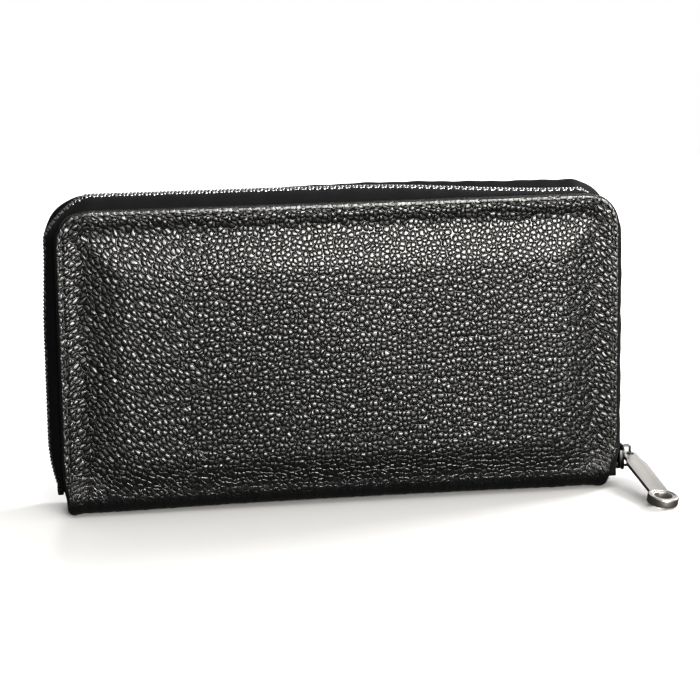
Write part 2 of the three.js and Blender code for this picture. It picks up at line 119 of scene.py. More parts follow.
# ------------------------------------------------------------------ meshes
def make_object(name, vertices, faces, material, uvs=None, smooth=True):
    mesh = bpy.data.meshes.new(name)
    mesh.from_pydata([tuple(v) for v in vertices], [], [tuple(f) for f in faces])
    mesh.update()
    if uvs is not None:
        layer = mesh.uv_layers.new(name="grain")
        loops = np.zeros(len(mesh.loops), dtype=np.int32)
        mesh.loops.foreach_get("vertex_index", loops)
        layer.data.foreach_set("uv", np.asarray(uvs, float)[loops].ravel())
    mesh.polygons.foreach_set("use_smooth", [smooth] * len(mesh.polygons))
    obj = bpy.data.objects.new(name, mesh)
    bpy.context.scene.collection.objects.link(obj)
    mesh.materials.append(material)
    return obj


def paint_attribute(obj, name, values):
    layer = obj.data.attributes.new(name, "FLOAT", "POINT")
    layer.data.foreach_set("value", np.asarray(values, np.float32))


def grid_faces(rows, columns, closed=False):
    faces = []
    for row in range(rows - 1):
        for column in range(columns if closed else columns - 1):
            right = (column + 1) % columns
            a = row * columns + column
            b = row * columns + right
            faces.append((a, b, b + columns, a + columns))
    return faces


def two_sided(name, outer, inner, columns, material, uvs=None):
    """A closed thin piece from two grids of points of the same size, joined round their border."""
    count = len(outer)
    rows = count // columns
    faces = grid_faces(rows, columns)
    faces += [tuple(reversed([i + count for i in f])) for f in grid_faces(rows, columns)]
    loop = border_loop(rows, columns)
    for a, b in zip(loop, loop[1:] + loop[:1]):
        faces.append((a, b, b + count, a + count))
    piece = make_object(name, np.array(outer + inner), faces, material, uvs)
    fix_normals(piece)
    return piece


def border_loop(rows, columns):
    """A grid's border vertices in order: first row, right side, last row, left side."""
    top = [k for k in range(columns)]
    right = [row * columns + columns - 1 for row in range(1, rows)]
    bottom = [(rows - 1) * columns + k for k in range(columns - 2, -1, -1)]
    left = [row * columns for row in range(rows - 2, 0, -1)]
    return top + right + bottom + left


def curve_to_mesh(name, curve, material):
    """A curve's solid as an ordinary mesh object."""
    obj = bpy.data.objects.new(name, curve)
    bpy.context.scene.collection.objects.link(obj)
    bpy.context.view_layer.update()
    graph = bpy.context.evaluated_depsgraph_get()
    mesh = bpy.data.meshes.new_from_object(obj.evaluated_get(graph))
    bpy.data.objects.remove(obj)
    solid = bpy.data.objects.new(name, mesh)
    bpy.context.scene.collection.objects.link(solid)
    mesh.materials.clear()
    mesh.materials.append(material)
    return solid


def shade_smooth(obj):
    obj.data.polygons.foreach_set("use_smooth", [True] * len(obj.data.polygons))


def fix_normals(obj, merge=True):
    work = bmesh.new()
    work.from_mesh(obj.data)
    if merge:
        bmesh.ops.remove_doubles(work, verts=work.verts, dist=1e-7)
    bmesh.ops.recalc_face_normals(work, faces=work.faces)
    work.to_mesh(obj.data)
    work.free()


def join_copies(name, template, movers, material):
    """One object from many copies of a template (vertices, faces), each moved by a function."""
    vertices, faces = template
    count = len(vertices)
    all_faces = []
    for number in range(len(movers)):
        all_faces.extend([tuple(i + number * count for i in face) for face in faces])
    return make_object(name, np.concatenate([move(vertices) for move in movers]), all_faces, material)


def placed(origin, x_axis, y_axis, z_axis):
    """A mover that takes a template to a place, with its own axes along the given ones."""
    axes = np.array([x_axis, y_axis, z_axis], float)
    return lambda vertices: vertices @ axes + np.array(origin, float)


def declare(piece, slot, node=None, body=None, bend=None):
    """Hides the CAD node that a piece stands for, hangs the piece on its body's empty, and bakes its
    transform when it is given a bend. The slot is not used.
    """
    if node:
        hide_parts(node)
    if body:
        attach(piece, body)
    if bend:
        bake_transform(piece)
    return piece


# ------------------------------------------------------------------ material nodes
class Nodes:
    """A short hand for building one material's node tree."""

    def __init__(self, name, **sockets):
        self.material = bpy.data.materials.new(name)
        self.material.use_nodes = True
        self.tree = self.material.node_tree
        self.shader = self.tree.nodes["Principled BSDF"]
        self.feed(self.shader, {key.replace("_", " "): value for key, value in sockets.items()})

    def feed(self, node, inputs):
        """Links or sets a node's inputs, by name or number. None leaves one alone."""
        for key, value in inputs.items():
            if isinstance(value, bpy.types.NodeSocket):
                self.tree.links.new(value, node.inputs[key])
            elif value is not None:
                node.inputs[key].default_value = value

    def add(self, kind, inputs, **settings):
        """A new node's outputs."""
        node = self.tree.nodes.new(kind)
        for key, value in settings.items():
            setattr(node, key, value)
        self.feed(node, inputs)
        return node.outputs

    def coordinates(self, output, scale=(1, 1, 1), rotation=(0, 0, 0)):
        source = self.add("ShaderNodeTexCoord", {})[output]
        inputs = {"Vector": source, "Scale": scale, "Rotation": rotation}
        return self.add("ShaderNodeMapping", inputs)["Vector"]

    def noise(self, vector, scale, detail=2.0, roughness=0.5, output="Fac"):
        inputs = {"Vector": vector, "Scale": scale, "Detail": detail, "Roughness": roughness}
        return self.add("ShaderNodeTexNoise", inputs)[output]

    def bands(self, vector, direction, scale, distortion=0.0):
        inputs = {"Vector": vector, "Scale": scale, "Distortion": distortion}
        return self.add("ShaderNodeTexWave", inputs, wave_type="BANDS", bands_direction=direction)["Fac"]

    def voronoi(self, vector, scale, feature, randomness=0.85, dimensions="2D"):
        inputs = {"Vector": vector, "Scale": scale, "Randomness": randomness}
        settings = {"feature": feature, "voronoi_dimensions": dimensions}
        return self.add("ShaderNodeTexVoronoi", inputs, **settings)["Distance"]

    def math(self, operation, a, b=0.0, clamp=False):
        return self.add("ShaderNodeMath", {0: a, 1: b}, operation=operation, use_clamp=clamp)[0]

    def vector(self, operation, inputs):
        return self.add("ShaderNodeVectorMath", inputs, operation=operation)[0]

    def ranged(self, value, low, high, to_low=0.0, to_high=1.0, smooth=False):
        inputs = {"Value": value, "From Min": low, "From Max": high, "To Min": to_low, "To Max": to_high}
        kind = "SMOOTHSTEP" if smooth else "LINEAR"
        return self.add("ShaderNodeMapRange", inputs, interpolation_type=kind)["Result"]

    def mix(self, factor, a, b, data_type="RGBA"):
        inputs = {"Factor": factor, "A": a, "B": b}
        return self.add("ShaderNodeMix", inputs, data_type=data_type)["Result"]

    def mix_value(self, factor, a, b):
        return self.mix(factor, a, b, "FLOAT")

    def warp(self, vector, by, amount):
        """The vector moved about by a noise colour, so that cells lose their straight sides."""
        centred = self.vector("SUBTRACT", {0: by, 1: (0.5, 0.5, 0.5)})
        scaled = self.vector("SCALE", {0: centred, "Scale": amount})
        return self.vector("ADD", {0: vector, 1: scaled})

    def bump(self, height, distance, strength=1.0, normal=None):
        inputs = {"Distance": distance, "Strength": strength, "Height": height, "Normal": normal}
        return self.add("ShaderNodeBump", inputs)["Normal"]

    def attribute(self, name):
        return self.add("ShaderNodeAttribute", {}, attribute_name=name)["Fac"]

    def finish(self, color, roughness, normal=None):
        self.feed(self.shader, {"Base Color": color, "Roughness": roughness, "Normal": normal})
        return self.material


PEBBLES_PER_MM = 0.57


def pebbles(n, vector):
    """Height of rounded pebbles parted by creases, over a 2D space in millimetres."""
    dome = n.voronoi(vector, PEBBLES_PER_MM, "F1")
    crease = n.voronoi(vector, PEBBLES_PER_MM, "DISTANCE_TO_EDGE")
    rounded = n.math("SUBTRACT", 1.0, n.math("MULTIPLY", n.math("POWER", dome, 2.5), 1.6), clamp=True)
    parted = n.ranged(crease, 0.0, 0.2, 0.0, 1.0, smooth=True)
    return n.math("MULTIPLY", rounded, parted)


def drawn_out(n, vector, degrees, along, across):
    """The space squeezed so that its pebbles come out long in one direction."""
    turn = (0, 0, math.radians(degrees))
    inputs = {"Vector": vector, "Rotation": turn, "Scale": (along, across, 1)}
    return n.add("ShaderNodeMapping", inputs, vector_type="TEXTURE")["Vector"]


def pebbled_leather():
    """Litchi-grain leather: round pebbles, drawn out where it is pulled over the padding's
    edges and calming to fine upright streaks where it folds at the spine."""
    n = Nodes("pebbled_leather", Specular_IOR_Level=0.58)
    flat = n.coordinates("UV", scale=IN_MM)
    wander = n.noise(flat, 0.25, detail=2.0, output="Color")
    warped = n.warp(flat, wander, 1.8)
    even = pebbles(n, warped)
    pulled = pebbles(n, drawn_out(n, warped, 50, 1.35, 0.85))
    mirrored = n.vector("ABSOLUTE", {0: warped})
    border = pebbles(n, drawn_out(n, mirrored, 42, 1.4, 0.8))
    streaks = n.noise(n.coordinates("UV", scale=(1000, 230, 1000)), 0.75, detail=3.0, roughness=0.6)
    streaked = n.ranged(streaks, 0.3, 0.7)

    patchy = n.math("SUBTRACT", n.noise(flat, 0.11, detail=2.0), 0.5)
    patchy = n.math("MULTIPLY", patchy, 1.3)
    in_pull = n.ranged(n.math("ADD", n.attribute("pull"), patchy), 0.46, 0.54)
    in_border = n.ranged(n.math("ADD", n.attribute("border"), patchy), 0.46, 0.54)
    cells = n.mix_value(in_border, n.mix_value(in_pull, even, pulled), border)
    folded = n.mix_value(0.35, streaked, n.math("MULTIPLY", cells, 0.6))
    height = n.mix_value(n.attribute("fold"), cells, folded)
    height = n.mix_value(n.attribute("rim"), height, 0.7)

    pores = n.noise(flat, 4.0, detail=3.0, roughness=0.6)
    coarse = n.bump(height, 0.45 * MM, 1.0)
    fine = n.bump(pores, 0.03 * MM, 0.5, coarse)

    tone = n.noise(flat, 0.035, detail=2.0)
    top = n.mix(tone, (0.0008, 0.0008, 0.0009, 1), (0.0018, 0.0017, 0.0018, 1))
    # painted shade: where the height is low, in the creases between pebbles and along the fold's streaks, the
    # colour falls to near black
    color = n.mix(n.ranged(height, 0.1, 0.55), (0.0003, 0.0003, 0.0003, 1), top)
    satin = n.ranged(pores, 0.3, 0.7, 0.3, 0.38)
    roughness = n.mix_value(n.ranged(height, 0.05, 0.5), 0.32, satin)
    return n.finish(color, roughness, fine)


def woven_tape():
    """Woven polyester zip tape, matte black, with diagonal ribs."""
    n = Nodes("zip_tape", Specular_IOR_Level=0.08)
    flat = n.coordinates("UV", scale=IN_MM)
    ribs = n.bands(flat, "DIAGONAL", 0.55, 0.6)
    cross = n.bands(flat, "Y", 0.7)
    height = n.math("MULTIPLY", ribs, n.ranged(cross, 0, 1, 0.5, 1.0))
    fuzz = n.noise(flat, 2.6, detail=3.0)
    color = n.mix(height, (0.0006, 0.0006, 0.0007, 1), (0.006, 0.006, 0.0063, 1))
    roughness = n.ranged(fuzz, 0.3, 0.7, 0.7, 0.9)
    normal = n.bump(height, 0.12 * MM, 0.8)
    return n.finish(color, roughness, n.bump(fuzz, 0.05 * MM, 0.5, normal))


def thread():
    n = Nodes("black_thread", Specular_IOR_Level=0.5)
    space = n.coordinates("Object", scale=IN_MM)
    twist = n.noise(space, 3.2, detail=2.0)
    color = n.mix(twist, (0.006, 0.006, 0.006, 1), (0.03, 0.03, 0.03, 1))
    roughness = n.ranged(twist, 0, 1, 0.4, 0.7)
    return n.finish(color, roughness, n.bump(twist, 0.08 * MM))


def metal(name, dark, light, rough_low, rough_high, stretch=(1, 1, 1)):
    """Plated metal with fine brushing, faint clouding and worn brighter spots."""
    n = Nodes(name, Metallic=1.0)
    space = n.coordinates("Object", scale=tuple(1000 * s for s in stretch))
    brushed = n.noise(space, 1.4, detail=4.0, roughness=0.65)
    clouds = n.noise(n.coordinates("Object", scale=IN_MM), 0.22, detail=3.0)
    color = n.mix(clouds, dark, light)
    roughness = n.ranged(brushed, 0.25, 0.75, rough_low, rough_high)
    return n.finish(color, roughness, n.bump(brushed, 0.006 * MM, 0.2))


def lining_cloth():
    """Fine black twill."""
    n = Nodes("lining", Specular_IOR_Level=0.35, Sheen_Weight=0.2, Sheen_Roughness=0.4)
    flat = n.coordinates("Object", scale=IN_MM, rotation=(0, math.radians(45), 0))
    twill = n.bands(flat, "X", 0.6, 0.4)
    fuzz = n.noise(flat, 1.9, detail=3.0)
    color = n.mix(twill, (0.009, 0.0085, 0.009, 1), (0.028, 0.026, 0.027, 1))
    roughness = n.ranged(fuzz, 0.3, 0.7, 0.6, 0.85)
    return n.finish(color, roughness, n.bump(twill, 0.09 * MM, 0.7))


def smooth_leather():
    """Fine-grained split leather of the card slots and the coin pocket."""
    n = Nodes("smooth_leather", Specular_IOR_Level=0.5)
    space = n.coordinates("Object", scale=IN_MM)
    wander = n.noise(space, 0.5, detail=2.0, output="Color")
    grain = n.voronoi(n.warp(space, wander, 1.2), 1.5, "DISTANCE_TO_EDGE", 1.0, "3D")
    height = n.ranged(grain, 0.0, 0.2, smooth=True)
    clouds = n.noise(space, 0.05, detail=2.0)
    top = n.mix(clouds, (0.014, 0.013, 0.013, 1), (0.026, 0.024, 0.024, 1))
    # painted shade: the grain's creases are coloured darker than its tops
    color = n.mix(height, (0.006, 0.0055, 0.0055, 1), top)
    roughness = n.ranged(wander.node.outputs["Fac"], 0.3, 0.7, 0.4, 0.55)
    return n.finish(color, roughness, n.bump(height, 0.1 * MM, 0.7))


def grey_board():
    """Fibrous bonded-leather stiffener board."""
    n = Nodes("board", Specular_IOR_Level=0.3)
    space = n.coordinates("Object", scale=IN_MM)
    fibres = n.noise(space, 0.9, detail=5.0, roughness=0.7)
    specks = n.noise(space, 3.5, detail=2.0)
    color = n.mix(fibres, (0.16, 0.14, 0.115, 1), (0.36, 0.32, 0.27, 1))
    roughness = n.ranged(specks, 0, 1, 0.75, 0.95)
    return n.finish(color, roughness, n.bump(fibres, 0.1 * MM))


def grey_foam():
    """Open-cell foam padding."""
    n = Nodes("foam", Specular_IOR_Level=0.2)
    cells = n.voronoi(n.coordinates("Object", scale=IN_MM), 1.8, "F1", 1.0, "3D")
    color = n.mix(cells, (0.012, 0.012, 0.013, 1), (0.06, 0.06, 0.063, 1))
    return n.finish(color, n.ranged(cells, 0, 0.8, 0.85, 1.0), n.bump(cells, 0.2 * MM))


def studio_floor():
    n = Nodes("studio_floor", Specular_IOR_Level=0.35)
    space = n.coordinates("Object")
    mottle = n.noise(space, 3.0, detail=2.0)
    # painted light: the floor's colour rises from about 0.4 near the wallet to 0.78 further back, evening out
    # the lamps' light, which is strong near the wallet and weaker behind it
    depth = n.add("ShaderNodeSeparateXYZ", {0: space})["Y"]
    painted_light_far_back = n.ranged(depth, 0.08, 0.5, 0.0, 1.0, smooth=True)
    near = n.mix(mottle, (0.4, 0.395, 0.388, 1), (0.42, 0.415, 0.409, 1))
    color = n.mix(painted_light_far_back, near, (0.78, 0.775, 0.768, 1))
    return n.finish(color, n.ranged(mottle, 0, 1, 0.32, 0.4))


MATERIALS = {
    "pebbled_leather": pebbled_leather(),
    "smooth_leather": smooth_leather(),
    "lining": lining_cloth(),
    "zip_tape": woven_tape(),
    "board": grey_board(),
    "foam": grey_foam(),
    "gunmetal": metal("gunmetal", (0.022, 0.022, 0.023, 1), (0.06, 0.06, 0.062, 1), 0.3, 0.42),
    # painted light: the teeth are the slider's gunmetal, given a lighter copy so that they catch brighter
    # highlights
    "teeth": metal("teeth_gunmetal_painted_light", (0.14, 0.14, 0.143, 1), (0.3, 0.295, 0.29, 1), 0.26, 0.38),
    "nickel": metal("nickel", (0.37, 0.355, 0.335, 1), (0.45, 0.433, 0.41, 1), 0.3, 0.4, (1, 0.15, 1)),
}
THREAD = thread()


# ------------------------------------------------------------------ the leather skin
FOOT_RADIUS = 3.0 * MM                     # the panels' small corners at the floor
DRAWN_IN = 2.3 * MM                        # how far the fold draws each side in at the floor
FOOT_SHIFT = 0.9 * MM
DRAWN_UP_TO = 19 * MM                      # and how high up that reaches
PULL_REACH = (-72 * MM, -30 * MM)          # where the grain stops being pulled askew
BORDER_REACH = (4 * MM, 16 * MM)           # how far in from the sides the border's grain goes
RIM_REACH = (0.9 * MM, 1.9 * MM)           # the edge's roll, where the grain is pressed flat
RIM_CALM = 0.85
STITCH_GROOVE = 0.28 * MM
EDGE_STEPS = 5                             # steps round the leather's cut edge
PADDING_RISE = 2.0 * MM
PADDING_REACH = (6.5 * MM, 23 * MM)        # from the sewn edge to the padding's full height
CROWN = 1.7 * MM                           # the face's slow swell over the padding
ARCH = 1.1 * MM                            # how far the fold's middle lifts off the floor
ARCH_TOP = 22 * MM


def edge_distance(x, z):
    """How far a panel point lies inside the panel's sides, top and round corners."""
    side = HALF_WIDTH - np.abs(x)
    top = HEIGHT - z
    from_corner = CORNER - np.hypot(np.maximum(CORNER - side, 0), np.maximum(CORNER - top, 0))
    inside = np.minimum(side, top)
    return np.where((side < CORNER) & (top < CORNER), from_corner, inside)


def half_width_at(z):
    """The panel's half width, less in the round top corners and the foot's small corners."""
    top = np.maximum(z - (HEIGHT - CORNER), 0)
    width = HALF_WIDTH - CORNER + np.sqrt(np.maximum(CORNER**2 - top**2, 0))
    foot = np.maximum(FOOT_RADIUS - z, 0)
    lost = FOOT_RADIUS - np.sqrt(np.maximum(FOOT_RADIUS**2 - foot**2, 0))
    return width - lost - drawn_in(z)


def drawn_in(z):
    """How far the fold at the foot pulls each side in."""
    return DRAWN_IN * (1 - smoothstep(0, DRAWN_UP_TO, z))


def foot_shift(z):
    """How far the foot's middle lies to the left, so that the slider's side is drawn in more."""
    return FOOT_SHIFT * (1 - smoothstep(0, DRAWN_UP_TO, z))


def fold_profile():
    """Rows of the skin from the front panel's top, under the spine, to the rear panel's top.

    Each row is (y, z, outward y, outward z, length so far)."""
    rows = []
    corner_angles = np.linspace(math.pi / 2, 0, 19)[:-1]
    tops = HEIGHT - CORNER + CORNER * np.sin(corner_angles)
    straight = graded([(HEIGHT - CORNER, 16 * MM, 1.15 * MM), (16 * MM, SPINE_RADIUS, 0.8 * MM)])
    for z in np.concatenate([tops, straight]):
        rows.append((-HALF_DEPTH, z, -1.0, 0.0))
    for angle in np.linspace(math.pi, 1.5 * math.pi, 14)[1:]:
        y = -HALF_DEPTH + SPINE_RADIUS + SPINE_RADIUS * math.cos(angle)
        z = SPINE_RADIUS + SPINE_RADIUS * math.sin(angle)
        rows.append((y, z, math.cos(angle), math.sin(angle)))
    middle = graded([(-HALF_DEPTH + SPINE_RADIUS, 0.0, 0.8 * MM)])[1:]
    rows.extend((y, 0.0, 0.0, -1.0) for y in middle)
    front = list(rows)
    for y, z, out_y, out_z in reversed(front[:-1]):
        rows.append((-y, z, -out_y, out_z))
    table = np.array(rows)
    return np.column_stack([table, path_lengths(table)])


def pillow(x, z):
    """How far the padding pushes the leather out, with the sewn border left low."""
    inside = edge_distance(x, z)
    stitched = -STITCH_GROOVE * bump_curve(inside, STITCH_INSET, 0.75 * MM)
    dip = -0.15 * MM * bump_curve(inside, 8.5 * MM, 3.5 * MM)
    rise = PADDING_RISE * smoothstep(*PADDING_REACH, inside)
    span = np.clip(1 - (x / HALF_WIDTH) ** 2, 0, 1)
    rise_up = np.clip(1 - ((z - 0.57 * HEIGHT) / (0.6 * HEIGHT)) ** 2, 0, 1)
    crown = CROWN * span * rise_up
    slack = slow_waves(x, z)
    foot = smoothstep(3 * MM, 19 * MM, z)
    return stitched + turned_edge(inside) + (dip + rise + crown + slack) * foot


def turned_edge(inside):
    """Extra thickness where the leather is folded back and sewn to the tape."""
    return LIP * (1 - smoothstep(1.5 * MM, 8.5 * MM, inside))


def slow_waves(x, z):
    """Gentle unevenness of leather over padding, a sum of a few long waves."""
    total = np.zeros_like(np.asarray(x, float))
    for across, up, phase, height in (
        (31, 17, 0.4, 0.12),
        (-19, 29, 2.1, 0.10),
        (47, -38, 4.0, 0.06),
        (61, 55, 1.2, 0.04),
    ):
        total = total + height * MM * np.sin(across * x * 2 + up * z * 2 + phase)
    return total


def foot_arch(x, z):
    """The spine stands on its two ends and lifts a little in the middle."""
    lift = ARCH * (1 - (np.asarray(x) / HALF_WIDTH) ** 2)
    return lift * (1 - smoothstep(0, ARCH_TOP, z))


def spine_wrinkles(x, arc, weight):
    """Fine creases running down round the fold."""
    waves = np.zeros_like(x)
    for pitch, phase, height in ((3.1, 0.3, 0.05), (4.7, 1.9, 0.05), (7.9, 4.1, 0.03), (13.3, 2.2, 0.02)):
        sway = 1.3 * np.sin(arc / (9 * MM) + phase)
        waves = waves + height * MM * np.sin(2 * math.pi * x / (pitch * MM) + sway + phase)
    return waves * weight


def leather_skin():
    """One closed skin: front panel, fold and rear panel, with a rounded cut edge all round."""
    profile = fold_profile()
    halves = graded([(0.0, 0.84, 0.0095), (0.84, 0.97, 0.0062), (0.97, 1.0, 0.0045)])
    across = np.concatenate([-halves[::-1][:-1], halves])[None, :]
    across, y, z, out_y, out_z, arc = np.broadcast_arrays(across, *profile.T[:, :, None])
    edge_half = (LEATHER + LIP) / 2
    x = across * (half_width_at(z) - edge_half)
    fold = 1 - smoothstep(6 * MM, 20 * MM, z)
    creased = fold * smoothstep(0, 12 * MM, HALF_WIDTH - np.abs(x))
    push = pillow(x, np.maximum(z, SPINE_RADIUS)) + spine_wrinkles(x, arc, creased)
    height = np.maximum(z + foot_arch(x, z) + out_z * push, 0.0)
    # the top rows are drawn in by half the leather, which the turned edge gives back
    height = height - edge_half * smoothstep(HEIGHT - 3 * MM, HEIGHT, z)
    outer = np.stack([x - foot_shift(z), y + out_y * push, height], axis=-1)
    thick = LEATHER + turned_edge(edge_distance(x, z))
    inner = outer - np.stack([0 * x, out_y * thick, out_z * thick], axis=-1)

    loop = border_loop(*x.shape)
    count = x.size
    outer, inner = outer.reshape(-1, 3), inner.reshape(-1, 3)
    uv = np.stack([x, arc], axis=-1).reshape(-1, 2)
    vertices = [outer, inner]
    uvs = [uv, uv + 0.003]
    faces = [tuple(reversed(f)) for f in grid_faces(*x.shape)]
    faces += [tuple(i + count for i in f) for f in grid_faces(*x.shape)]

    middle = (outer[loop] + inner[loop]) / 2
    half = (outer[loop] - inner[loop]) / 2
    half_size = np.linalg.norm(half, axis=1)[:, None]
    outward = border_outward(loop, x, z)
    rings = [np.array(loop)]
    for step in range(1, EDGE_STEPS):
        angle = math.pi * step / EDGE_STEPS
        vertices.append(middle + half * math.cos(angle) + outward * (half_size * math.sin(angle)))
        uvs.append(uv[loop] + outward[:, [0, 2]] * LEATHER * math.sin(angle))
        rings.append(np.arange(len(loop)) + 2 * count + (step - 1) * len(loop))
    rings.append(np.array(loop) + count)
    for one, two in zip(rings[:-1], rings[1:]):
        faces += zip(one, np.roll(one, -1), np.roll(two, -1), two)
    leather = MATERIALS["pebbled_leather"]
    skin = make_object("leather_skin", np.concatenate(vertices), faces, leather, np.concatenate(uvs))
    for name, values in (
        ("fold", fold),
        ("pull", 1 - smoothstep(*PULL_REACH, x)),
        ("border", 1 - smoothstep(*BORDER_REACH, HALF_WIDTH - np.abs(x))),
        ("rim", RIM_CALM * (1 - smoothstep(*RIM_REACH, edge_distance(x, z)))),
    ):
        flat = values.reshape(-1)
        paint_attribute(skin, name, np.concatenate([flat, flat] + [flat[loop]] * (EDGE_STEPS - 1)))
    fix_normals(skin, merge=False)
    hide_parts("front_leather", "spine_leather", "rear_leather")
    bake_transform(skin)
    return skin


def border_outward(loop, x, z):
    """Unit vectors in the X-Z plane pointing out of the panel at each border vertex."""
    rows, columns = x.shape
    x, z = x.reshape(-1)[loop], z.reshape(-1)[loop]
    away_x = np.abs(x) - (HALF_WIDTH - CORNER)
    away_z = z - (HEIGHT - CORNER)
    in_corner = (away_x > 0) & (away_z > 0)
    size = np.where(in_corner, np.hypot(away_x, away_z), 1)
    at_top = np.isin(np.array(loop) // columns, (0, rows - 1))
    out_x = np.where(in_corner, away_x / size, 1.0 - at_top)
    out_z = np.where(in_corner, away_z / size, 1.0 * at_top)
    return np.column_stack([np.copysign(out_x, x), 0 * x, out_z])


# ------------------------------------------------------------------ stitching
def edge_path(offset, left_start, right_end, step):
    """Places every step along the panels' edge moved out by offset, with outward directions.

    Each is (x, z, outward x, outward z): up the left side, over the top and down the right."""
    radius = CORNER + offset
    corner_x = HALF_WIDTH - CORNER
    corner_z = HEIGHT - CORNER
    quarter = math.pi / 2 * radius
    to_foot = corner_x + quarter + corner_z
    first, last = left_start - to_foot, to_foot - right_end
    count = int((last - first) / step)
    places = []
    for along in np.linspace(first, last, count + 1):
        past = abs(along) - corner_x
        angle = min(max(past / radius, 0.0), math.pi / 2)
        out_x, out_z = math.copysign(math.sin(angle), along), math.cos(angle)
        x = math.copysign(min(abs(along), corner_x), along) + radius * out_x
        z = corner_z + radius * out_z - max(past - quarter, 0.0)
        places.append((x, z, out_x, out_z))
    return np.array(places), (last - first) / count


def on_edge(x, y, z, out_x, out_z, side):
    """A mover to a place on the panels' edge: X runs along the edge and Z outward."""
    return placed((x, y, z), (out_z, 0, -out_x), (0, side, 0), (out_x, 0, out_z))


def stitch_template(length, radius):
    """One stitch as a capsule along X, its ends dipping into the leather."""
    sides = 6
    rings = 7
    vertices = []
    for ring in range(rings):
        t = ring / (rings - 1)
        along = (t - 0.5) * length
        fat = radius * math.sqrt(max(1 - (2 * t - 1) ** 4, 0.02))
        sink = -radius * 1.5 * (2 * t - 1) ** 4
        for side in range(sides):
            angle = 2 * math.pi * side / sides
            vertices.append((along, fat * math.cos(angle) + sink, fat * math.sin(angle)))
    faces = grid_faces(rings, sides, closed=True)
    faces.append(tuple(range(sides)))
    faces.append(tuple(range((rings - 1) * sides, rings * sides)))
    return np.array(vertices), faces


def edge_stitching(name, side):
    """A row of stitches just inside one panel's turned edge."""
    places, _ = edge_path(-STITCH_INSET, 7 * MM, 7 * MM, 3.3 * MM)
    movers = []
    for x, z, out_x, out_z in places:
        surface = HALF_DEPTH + float(pillow(np.array(x), np.array(z))) + 0.05 * MM
        x_in = math.copysign(float(drawn_in(z)), x) + float(foot_shift(z))
        lift = float(foot_arch(x, z))
        movers.append(on_edge(x - x_in, side * surface, z + lift, out_x, out_z, side))
    stitches = join_copies(name, stitch_template(2.7 * MM, 0.26 * MM), movers, THREAD)
    fix_normals(stitches)
    return declare(stitches, "pebbled_leather", bend=SKIN_BEND)


# ------------------------------------------------------------------ zip tapes
TAPE_THICK = 0.45 * MM
TAPE_FROM = 2.3 * MM                       # where each tape starts beside the middle
LEAN_SINK = 3.0 * MM                       # the chain sinks that far at the top's right end
LEAN_FORWARD = 2.6 * MM                    # and moves that far to the front
LEAN_REACH = (5 * MM, 80 * MM)             # between these places along the top
LEFT_CORNER_SINK = 2.3 * MM
RIGHT_CORNER_SINK = 2.6 * MM
LEFT_SIDE_SHARE = 0.4                      # the left corner's sink that goes on down its side
RIGHT_SIDE_SINK = 0.9 * MM
RIGHT_SIDE_REACH = (87 * MM, 94 * MM)      # above the slider's highest place
REAR_SWELL = 1.5 * MM                      # the rear tape swells up behind the chain
SWELL_REACH = (-60 * MM, 40 * MM)
LEFT_CORNER_SWELL = 0.8 * MM
RIGHT_TAPER = 2.6 * MM                     # the right leg's foot sinks in
RIGHT_TAPER_REACH = (3 * MM, 15 * MM)


def zip_lean(x, z, out_x, out_z):
    """The chain sinks between the panels along the top's right end and cuts both corners.

    Gives how far it sinks and how far it moves along Y, and the rear tape's swell behind it."""
    up = max(out_z, 0.0)
    to_right = float(smoothstep(*LEAN_REACH, x)) * up
    corner = 2 * abs(out_x) * up
    if out_x < 0:
        down_side = float(smoothstep(62 * MM, HEIGHT - CORNER, z))
        corner = max(corner, LEFT_SIDE_SHARE * abs(out_x) * down_side)
    corner_sink = (LEFT_CORNER_SINK if out_x < 0 else RIGHT_CORNER_SINK) * corner
    right_side = RIGHT_SIDE_SINK * max(out_x, 0.0) ** 4 * float(smoothstep(*RIGHT_SIDE_REACH, z))
    sink = to_right * LEAN_SINK + corner_sink + right_side
    swell = REAR_SWELL * up * float(smoothstep(*SWELL_REACH, x)) * (1 - corner)
    if out_x < 0:
        swell += LEFT_CORNER_SWELL * corner
    return sink, -to_right * LEAN_FORWARD, swell


def taper_at(x_out, z):
    """How far each leg of the zip sinks in near its foot."""
    if x_out > 0.99:
        return RIGHT_TAPER * (1 - float(smoothstep(*RIGHT_TAPER_REACH, z)))
    if x_out > -0.99 or z >= TAPER_TOP:
        return 0.0
    return TAPER_DEPTH * ((TAPER_TOP - z) / (TAPER_TOP - LEFT_START)) ** 2


def inner_half_depth(z):
    inner = HALF_DEPTH - LEATHER - 0.3 * MM
    if z >= SPINE_RADIUS:
        return inner
    radius = SPINE_RADIUS - LEATHER - 0.3 * MM
    return HALF_DEPTH - SPINE_RADIUS + math.sqrt(max(radius**2 - (SPINE_RADIUS - z) ** 2, 0))


def tape_section():
    """(y, outward) points across a tape's outer face, from the teeth to under the panel."""
    inner = HALF_DEPTH - LEATHER - 0.3 * MM
    points = []
    for t in np.linspace(0, 1, 11):
        y = TAPE_FROM + t * (inner - TAPE_FROM)
        out = TAPE_TOP * (1 - t**2.6) - 0.5 * MM * t
        points.append((y, out))
    points.append((inner, -2.5 * MM))
    points.append((inner, -6.5 * MM))
    return np.array(points)


